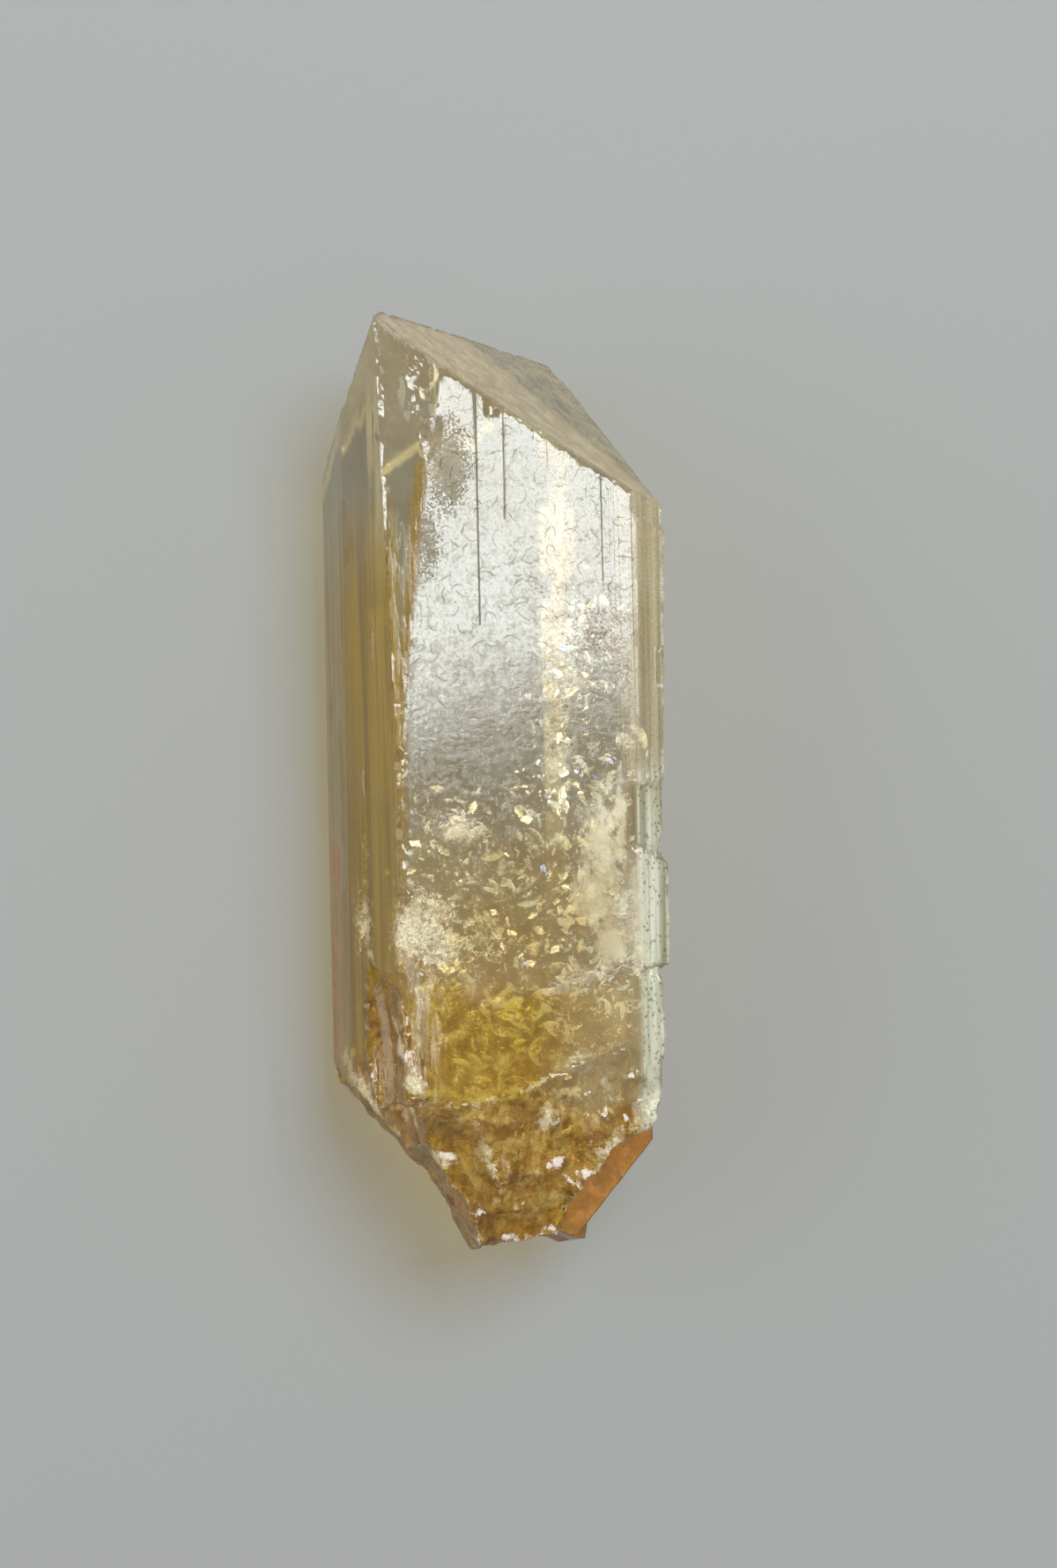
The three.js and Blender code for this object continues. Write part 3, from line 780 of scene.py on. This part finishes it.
def glints():
    """Small bright cracks that sparkle in the lower half: thin closed lenses turned every way."""
    draw = random.Random(77)
    made = Gathered()
    for _ in range(GLINT_TRIES):
        cx, cy, spread_x, spread_y = GLINT_CLUSTERS[draw.randrange(len(GLINT_CLUSTERS))]
        px, py = draw.gauss(cx, spread_x / 2), draw.gauss(cy, spread_y / 2)
        top, low = front_height(px, py), back_height(px, py)
        if top is None or top - low < 3:
            continue
        size = 0.07 + 0.6 * draw.random() ** 4
        centre = Vector((px, py, top - size - 0.15 - 5.0 * draw.random() ** 1.6))
        if centre.z < low + 1:
            continue
        gap = OUTSIDE.find_nearest(centre)[3]
        if gap is None or gap < size * 1.3 + 0.1:
            continue
        aim = Vector((draw.gauss(0, 0.16), draw.gauss(0.04, 0.16), 1)).normalized()
        plate, faces = flat_plate(draw, centre, size, aim)
        made.add(plate, faces, [draw.random() * PLAIN_TINTS] * len(plate))
    for px, py, depth, size, tint in RAINBOWS:
        centre = Vector((px, py, front_height(px, py) - depth))
        plate, faces = flat_plate(draw, centre, size, RAINBOW_AIM)
        made.add(plate, faces, [tint] * len(plate))
    return made.piece("bright_glints", "tint")


marks = marks_under_faces()
veil_piece = veils()
crack_piece = curved_cracks()
glint_piece = glints()
for piece in (body, marks, veil_piece, crack_piece, glint_piece):
    piece.data.transform(Matrix.Scale(MM, 4))
    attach(piece, "root")
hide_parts("danburite_crystal")


# Finishes

class Workbench:
    """Holds the node tree that new nodes go into."""
    tree = None


def srgb(r, g, b):
    return tuple(((c / 255 + 0.055) / 1.055) ** 2.4 for c in (r, g, b)) + (1.0,)


def set_on(node, values):
    """Gives a node its inputs: a socket is linked, and anything else is set."""
    for name, value in values.items():
        if isinstance(value, bpy.types.NodeSocket):
            node.id_data.links.new(value, node.inputs[name])
        else:
            node.inputs[name].default_value = value


def put(kind, values=None, **settings):
    """Adds a node with its settings and inputs to the tree on the workbench."""
    made = Workbench.tree.nodes.new(kind)
    for name, value in settings.items():
        setattr(made, name, value)
    set_on(made, values or {})
    return made


def first_of(kind, values=None, **settings):
    """The first output of a new node."""
    return put(kind, values, **settings).outputs[0]


def maths(operation, a, b=0.0, c=0.0):
    return first_of("ShaderNodeMath", {0: a, 1: b, 2: c}, operation=operation)


def times(a, b):
    return maths("MULTIPLY", a, b)


def most(a, b):
    return maths("MAXIMUM", a, b)


def least(a, b):
    return maths("MINIMUM", a, b)


def rest_of(share):
    return maths("SUBTRACT", 1.0, share)


def total(start, *parts):
    """A start value plus each part's value times its weight."""
    for value, weight in parts:
        start = maths("MULTIPLY_ADD", value, weight, start)
    return start


def blend(share, first, second):
    return put("ShaderNodeMix", {0: share, 6: first, 7: second}, data_type="RGBA").outputs[2]


def between(value, low, high):
    """0 at `low`, 1 at `high` and a soft step between."""
    return first_of("ShaderNodeMapRange", {0: value, 1: low, 2: high}, interpolation_type="SMOOTHSTEP")


def stretched(where, scale, turn=(0, 0, 0)):
    return first_of("ShaderNodeMapping", {"Vector": where, "Scale": scale, "Rotation": turn})


def cloud(where, scale, detail=4.0, rough=0.55):
    values = {"Vector": where, "Scale": scale, "Detail": detail, "Roughness": rough}
    return put("ShaderNodeTexNoise", values).outputs["Fac"]


def masks_of(names):
    return [put("ShaderNodeAttribute", attribute_name=name).outputs["Fac"] for name in names.split()]


def bump_of(height, strength, distance):
    values = {"Height": height, "Strength": strength, "Distance": distance * MM}
    return first_of("ShaderNodeBump", values)


def ragged(share, noise, amount):
    """Turns a soft mask into one with a torn edge."""
    torn = maths("MULTIPLY_ADD", noise, amount, maths("SUBTRACT", share, amount / 2))
    return times(between(torn, 0.4, 0.62), between(share, 0.02, 0.2))


def new_group(name, inputs, output):
    """Opens a node group. Its Place is a vector, and its other inputs and its output are numbers."""
    tree = bpy.data.node_groups.new(name, "ShaderNodeTree")
    for label in inputs:
        kind = "NodeSocketVector" if label == "Place" else "NodeSocketFloat"
        tree.interface.new_socket(label, in_out="INPUT", socket_type=kind)
    tree.interface.new_socket(output, in_out="OUTPUT", socket_type="NodeSocketFloat")
    Workbench.tree = tree
    return tree, tree.nodes.new("NodeGroupInput").outputs, tree.nodes.new("NodeGroupOutput")


def growth_line_group():
    """Fine lines along the crystal's length."""
    tree, given, out = new_group("growth lines", ["Place"], "Height")
    fine = cloud(stretched(given["Place"], (3.2, 0.035, 3.2)), 1.0, 5, 0.65)
    broad = cloud(stretched(given["Place"], (0.9, 0.03, 0.9)), 1.0, 3, 0.5)
    set_on(out, {"Height": total(0.0, (fine, 0.55), (broad, 0.45))})
    return tree


def stroke_group():
    """Short curved strokes scattered every way over X and Y. Length and Width are shares of their spacing."""
    tree, given, out = new_group("short strokes", ["Place", "Per mm", "Length", "Width"], "Strokes")
    scaled = put("ShaderNodeVectorMath", {0: given["Place"], "Scale": given["Per mm"]}, operation="SCALE")
    place = scaled.outputs[0]
    cells = put("ShaderNodeTexVoronoi", {"Vector": place, "Scale": 1.0, "Randomness": 1.0},
                voronoi_dimensions="2D").outputs
    off = first_of("ShaderNodeVectorMath", {0: place, 1: cells["Position"]}, operation="SUBTRACT")
    chance = put("ShaderNodeSeparateColor", {0: cells["Color"]}).outputs
    angle = times(chance[0], 2 * math.pi)
    turned = first_of("ShaderNodeVectorRotate", {"Vector": off, "Angle": angle}, rotation_type="Z_AXIS")
    split = put("ShaderNodeSeparateXYZ", {0: turned}).outputs
    run, side = split[0], split[1]
    curve = times(times(run, run), maths("MULTIPLY_ADD", chance[1], 5.0, -2.5))
    off_line = maths("ABSOLUTE", maths("ADD", side, curve))
    line = rest_of(between(off_line, 0.0, given["Width"]))
    end = rest_of(between(maths("ABSOLUTE", run), 0.0, given["Length"]))
    set_on(out, {"Strokes": times(line, maths("POWER", end, 0.5))})
    return tree


def step_line_group():
    """A thin straight line along the crystal's length, at X = Across from Y = Low to Y = High."""
    tree, given, out = new_group("step line", ["Place", "Across", "Low", "High", "Half width"], "Line")
    split = put("ShaderNodeSeparateXYZ", {0: given["Place"]}).outputs
    off = maths("ABSOLUTE", maths("SUBTRACT", split[0], given["Across"]))
    line = rest_of(between(off, 0.0, given["Half width"]))
    over, under = maths("GREATER_THAN", split[1], given["Low"]), maths("LESS_THAN", split[1], given["High"])
    set_on(out, {"Line": times(line, times(over, under))})
    return tree


GROWTH_LINES = growth_line_group()
STROKES = stroke_group()
STEP_LINE = step_line_group()
# Straight steps on the front, drawn as thin dark lines of painted shade: X, lowest and highest Y, half width
# and how dark.
STEP_SHADE_LINES = [
    (-2.3, 11.1, 28.7, 0.12, 1.0), (-0.3, 18.8, 27.2, 0.1, 0.85), (2.9, 22.6, 25.2, 0.09, 0.5),
    (6.85, 14.3, 22.0, 0.1, 0.85), (9.05, -2.0, 20.6, 0.08, 0.6), (8.1, -3.0, 20.6, 0.05, 0.35),
    (7.4, 9.0, 21.2, 0.05, 0.3), (7.75, 2.0, 21.0, 0.05, 0.3),
]


def growth_lines(place):
    """Height of the growth lines, and the streaks of colour that go with them."""
    height = first_of("ShaderNodeGroup", {"Place": place}, node_tree=GROWTH_LINES)
    return height, between(height, 0.38, 0.62)


def strokes(place, per_mm, length, width):
    values = {"Place": place, "Per mm": per_mm, "Length": length, "Width": width}
    return first_of("ShaderNodeGroup", values, node_tree=STROKES)


# Painted shade: dark lines along the steps on the front, added up.
def step_shade_lines(place):
    step = 0.0
    for across, low, high, half, strength in STEP_SHADE_LINES:
        across += float(HEART[0])
        values = {"Place": place, "Across": across, "Low": low, "High": high, "Half width": half}
        step = total(step, (first_of("ShaderNodeGroup", values, node_tree=STEP_LINE), strength))
    return step


def new_finish(name):
    """Opens a material. Gives its shader, and the place on the crystal in millimetres."""
    made = bpy.data.materials.new(name)
    made.use_nodes = True
    Workbench.tree = made.node_tree
    place = stretched(put("ShaderNodeTexCoord").outputs["Object"], (1 / MM, 1 / MM, 1 / MM))
    return made, made.node_tree.nodes["Principled BSDF"], place


def let_light_in(made, shader):
    """Absorbs light in the depth, and lets lamps shine into the crystal as through plain tinted glass."""
    depth = put("ShaderNodeVolumeAbsorption", {"Color": (0.84, 0.74, 0.28, 1), "Density": 32.0})
    lit = put("ShaderNodeBsdfTransparent", {"Color": (0.76, 0.7, 0.48, 1)})
    shadow = put("ShaderNodeLightPath").outputs["Is Shadow Ray"]
    both = put("ShaderNodeMixShader", {0: shadow, 1: shader.outputs[0], 2: lit.outputs[0]})
    out = made.node_tree.nodes["Material Output"]
    set_on(out, {"Surface": both.outputs[0], "Volume": depth.outputs[0]})


def crystal_finish():
    """Clear to honey-gold danburite with its stains, its frosted side and the fine marks on its faces, with
    painted shade along the hairs, steps and dull patches and a paler painted tip strip.
    """
    made, shader, place = new_finish("golden danburite")
    broken, soft_bruise, honey, rust, frost, soft_dull, hatch, front, strip, hairy = masks_of(
        "broken bruise honey rust frost dull hatch front strip hairy")
    height, streaks = growth_lines(place)
    drift = cloud(place, 0.22, 4, 0.6)
    speckle = cloud(place, 2.4, 4, 0.65)
    mottle = cloud(place, 0.9, 5, 0.68)
    swell = cloud(place, 0.6, 2, 0.5)
    dull = ragged(soft_dull, total(0.0, (cloud(place, 5.0, 3, 0.6), 0.7), (mottle, 0.3)), 2.6)
    bruise = ragged(soft_bruise, total(0.0, (speckle, 0.6), (mottle, 0.4)), 3.2)

    # Hair-like marks, etch pits, steps and feathers; the hairs and steps also carry painted shade
    dense = between(cloud(place, 0.45, 3), 0.36, 0.62)
    long_hairs, short_hairs = strokes(place, 0.65, 0.47, 0.058), strokes(place, 1.5, 0.46, 0.09)
    hairs_and_shade = times(most(times(long_hairs, 0.85), times(short_hairs, dense)), hairy)
    cells = put("ShaderNodeTexVoronoi", {"Vector": stretched(place, (3.4, 2.6, 3.4)), "Scale": 1.0})
    dots = rest_of(between(cells.outputs["Distance"], 0.18, 0.42))
    pits = times(dots, between(mottle, 0.42, 0.54))
    frost_dots = times(pits, between(frost, 0.56, 0.9))
    step = times(step_shade_lines(place), front)
    feather = cloud(stretched(place, (3.4, 0.4, 1.0), (0, 0, 0.4)), 1.0, 3, 0.5)
    feather = times(between(feather, 0.48, 0.6), hatch)

    # Colour
    clear = blend(between(drift, 0.35, 0.65), srgb(240, 238, 224), srgb(222, 210, 184))
    grown = maths("MULTIPLY_ADD", front, maths("SUBTRACT", between(mottle, 0.36, 0.64), streaks), streaks)
    gold = blend(grown, srgb(174, 148, 0), srgb(217, 195, 40))
    shell = blend(between(mottle, 0.38, 0.62), srgb(150, 108, 0), srgb(214, 184, 92))
    stain = blend(between(mottle, 0.35, 0.65), srgb(204, 166, 78), srgb(232, 200, 116))
    milk = blend(streaks, srgb(174, 173, 152), srgb(246, 246, 240))
    # Painted light: the tip strip gets a paler milk than the face beside it.
    milk = blend(strip, milk, blend(speckle, srgb(238, 224, 206), srgb(255, 250, 240)))
    colour = blend(honey, clear, blend(broken, gold, shell))
    colour = blend(rust, colour, stain)
    colour = blend(frost, colour, milk)
    colour = blend(times(bruise, 0.6), colour, srgb(244, 238, 226))
    # Painted shade: the dull patches are darkened to brown, as where the reflection breaks.
    colour = blend(times(dull, 0.5), colour, srgb(196, 172, 120))
    # Painted shade: the hairs and steps are darkened, and there are dark dots on the frosted side.
    dark = total(0.0, (hairs_and_shade, 0.85), (step, 0.85), (frost_dots, 1.2))
    colour = blend(least(dark, 0.85), colour, srgb(104, 90, 56))
    colour = blend(feather, colour, srgb(250, 244, 230))

    # Gloss
    uneven = times(maths("SUBTRACT", speckle, 0.5), total(0.3, (broken, -0.2)))
    rough = total(0.08, (pits, 0.14), (frost, 0.3), (dull, 0.36), (bruise, 0.45), (broken, 0.04),
                  (hairs_and_shade, 0.3), (step, 0.5), (uneven, 1.0), (strip, 0.1),
                  (times(between(mottle, 0.5, 0.66), front), 0.1))

    # Relief
    side = times(total(0.1, (between(frost, 0.5, 0.9), 1.0), (honey, 0.8)), rest_of(broken))
    shells = times(swell, most(total(0.1, (broken, 2.4), (rust, -2.0)), 0.08))
    crumble = times(speckle, total(0.04, (soft_bruise, 0.9), (front, 0.02), (broken, 0.06)))
    relief = total(times(height, side), (feather, 0.5), (crumble, 1.0), (shells, 1.0))

    set_on(shader, {"Base Color": colour, "Roughness": most(least(rough, 0.85), 0.03),
                    "Normal": bump_of(relief, 0.6, 0.12), "IOR": 1.63, "Transmission Weight": 0.86})
    let_light_in(made, shader)
    return made


def mark_finish():
    """White crushed crystal, rust, frost and honey-coloured zones seen through the faces."""
    made, shader, place = new_finish("marks under the faces")
    bruise, rust, honey, frost, inner, front, strip = masks_of("bruise rust honey frost inner front strip")
    streaks = growth_lines(place)[1]
    speckle = cloud(place, 2.6, 4, 0.72)
    mottle = cloud(place, 0.8, 4, 0.7)
    fine = cloud(place, 7.0, 2, 0.6)
    crushed = ragged(bruise, total(0.0, (speckle, 0.6), (mottle, 0.4)), 3.2)
    flaws = most(strokes(place, 0.8, 0.45, 0.06), strokes(place, 2.1, 0.42, 0.09))
    flaws = total(flaws, (between(speckle, 0.55, 0.75), 0.5))
    flaws = least(times(times(flaws, between(mottle, 0.5, 0.62)), inner), 0.7)

    grown = maths("MULTIPLY_ADD", front, maths("SUBTRACT", between(mottle, 0.36, 0.64), streaks), streaks)
    gold = blend(grown, srgb(142, 111, 0), srgb(200, 162, 10))
    gold = blend(times(front, 0.6), gold, srgb(178, 120, 0))
    colour = blend(frost, gold, srgb(214, 217, 217))
    # Painted light: the tip strip gets a paler colour and cover (pale below) than the face beside it.
    colour = blend(strip, colour, blend(streaks, srgb(204, 190, 168), srgb(240, 232, 218)))
    stain = blend(between(mottle, 0.35, 0.65), srgb(146, 94, 8), srgb(190, 132, 30))
    colour = blend(rust, colour, stain)
    white = blend(between(fine, 0.35, 0.6), srgb(178, 168, 146), srgb(236, 238, 240))
    colour = blend(least(maths("ADD", crushed, flaws), 1.0), colour, white)

    lined = times(frost, total(0.0, (streaks, 0.6), (fine, 0.2)))
    pale = times(strip, total(0.0, (speckle, 0.6), (streaks, 0.15)))
    golden = times(honey, total(0.34, (streaks, -0.12), (fine, 0.2)))
    solid = times(crushed, total(0.25, (between(fine, 0.35, 0.62), 0.65)))
    cover = flaws
    for share in (lined, pale, golden, times(rust, 0.85), solid):
        cover = most(cover, share)
    set_on(shader, {"Base Color": colour, "Alpha": cover, "Roughness": 0.55})
    return made


def veil_finish():
    """Milky veils: white where tiny bubbles lie close, open between."""
    made, shader, place = new_finish("milky veil")
    white, = masks_of("white")
    wisps = cloud(stretched(place, (1.0, 0.8, 1.0)), 1.3, 5, 0.75)
    cover = times(between(total(0.0, (wisps, 1.0), (white, 0.5)), 0.66, 1.0), 0.75)
    colour = blend(wisps, srgb(212, 200, 172), srgb(236, 242, 255))
    set_on(shader, {"Base Color": colour, "Alpha": cover, "Roughness": 0.4})
    return made


def crack_finish():
    """Curved cracks that catch the light, white to pale cream."""
    made, shader, place = new_finish("curved crack")
    white, = masks_of("white")
    share = total(-0.65, (white, 1.0), (cloud(place, 4.0, 2), 1.3))
    colour = blend(between(cloud(place, 0.6, 2), 0.4, 0.6), srgb(255, 248, 230), srgb(240, 248, 255))
    set_on(shader, {"Base Color": colour, "Alpha": times(between(share, 0.15, 0.8), 0.9), "Roughness": 0.3})
    return made


# Colours of the bright flakes: where each stands on the run, and its red, green and blue.
TINTS = [(0.0, (255, 250, 240)), (0.5, (255, 249, 236)), (0.86, (255, 236, 196)), (0.9, (210, 190, 255)),
         (0.97, (150, 170, 255))]


def glint_finish():
    """Thin cracks that shine like foil, white to gold, and a few with rainbow colours."""
    made, shader, place = new_finish("bright crack")
    tint, = masks_of("tint")
    ramp = put("ShaderNodeValToRGB", {0: tint})
    stops = ramp.color_ramp.elements
    while len(stops) < len(TINTS):
        stops.new(0.5)
    for stop, (at, colour) in zip(stops, TINTS):
        stop.position = at
        stop.color = srgb(*colour)
    uneven = cloud(place, 5.0, 3)
    set_on(shader, {"Base Color": ramp.outputs["Color"], "Roughness": total(0.1, (uneven, 0.3)),
                    "Normal": bump_of(uneven, 0.5, 0.1), "Metallic": 1.0})
    return made


FINISHES = [(body, crystal_finish()), (marks, mark_finish()), (veil_piece, veil_finish()),
            (crack_piece, crack_finish()), (glint_piece, glint_finish())]
for piece, finish in FINISHES:
    piece.visible_shadow = piece is body
    piece.data.materials.clear()
    piece.data.materials.append(finish)


# Floor, light and camera

FLOOR_REACH = 3.0
COOL = (0.93, 0.985, 1.0)
LENGTH = 0.07  # the crystal's length, in metres
PICTURE_TALL, CRYSTAL_TALL = 1780, 1064  # the picture, and the crystal in it, in pixels
CAMERA_AIM = Vector((0.00255, 0.0, 0.012))
CAMERA_FAR = 0.25
CAMERA_UP = Vector((0.01105636, 0.99841052, 0.05526475))
CAMERA_BACK = Vector((-0.18198578, -0.05233596, 0.98190739))
SENSOR = 36
BOUNCES = {"glossy_bounces": 8, "transmission_bounces": 9, "max_bounces": 10, "transparent_max_bounces": 16}


def pale_floor():
    mesh = bpy.data.meshes.new("floor")
    corners = [(FLOOR_REACH * i, FLOOR_REACH * j, 0) for i, j in ((-1, -1), (1, -1), (1, 1), (-1, 1))]
    mesh.from_pydata(corners, [], [(0, 1, 2, 3)])
    floor = show(mesh, "floor")
    pale = bpy.data.materials.new("pale floor")
    pale.use_nodes = True
    set_on(pale.node_tree.nodes["Principled BSDF"], {"Base Color": (0.38, 0.38, 0.37, 1), "Roughness": 0.8})
    floor.data.materials.append(pale)
    return floor


def soft_lamp(name, place, size, radiance, colour=(1, 1, 1), turned=0, lean=0):
    """A square soft lamp. It looks straight down, or leans to the right, and is turned about the upright."""
    lamp = bpy.data.lights.new(name, "AREA")
    lamp.shape = "RECTANGLE"
    lamp.size, lamp.size_y = size, size
    lamp.energy = radiance * math.pi * size * size
    lamp.color = colour
    box = bpy.data.objects.new(name, lamp)
    box.location = place
    box.rotation_euler = (0, math.radians(lean), math.radians(turned))
    scene.collection.objects.link(box)


def photograph_camera():
    lens = bpy.data.cameras.new("camera")
    lens.lens = SENSOR * CAMERA_FAR / (LENGTH * PICTURE_TALL / CRYSTAL_TALL)
    lens.sensor_width = SENSOR
    lens.clip_start = 0.01
    camera = bpy.data.objects.new("camera", lens)
    turn = Matrix((CAMERA_UP.cross(CAMERA_BACK), CAMERA_UP, CAMERA_BACK)).transposed()
    camera.matrix_world = Matrix.Translation(CAMERA_AIM + CAMERA_BACK * CAMERA_FAR) @ turn.to_4x4()
    scene.collection.objects.link(camera)
    return camera


pale_floor()
soft_lamp("overhead softbox", (0.12, 0.213, 0.6), 0.3, 11.0, COOL, turned=15)
soft_lamp("left softbox", (-0.5, 0.0, 0.24), 0.5, 1.8, lean=-64)
scene.camera = photograph_camera()
scene.world = bpy.data.worlds.new("studio air")
scene.world.use_nodes = True
set_on(scene.world.node_tree.nodes["Background"], {"Color": (1, 1, 1, 1), "Strength": 0.34})
scene.view_settings.view_transform = "Standard"
for name, count in BOUNCES.items():
    setattr(scene.cycles, name, count)
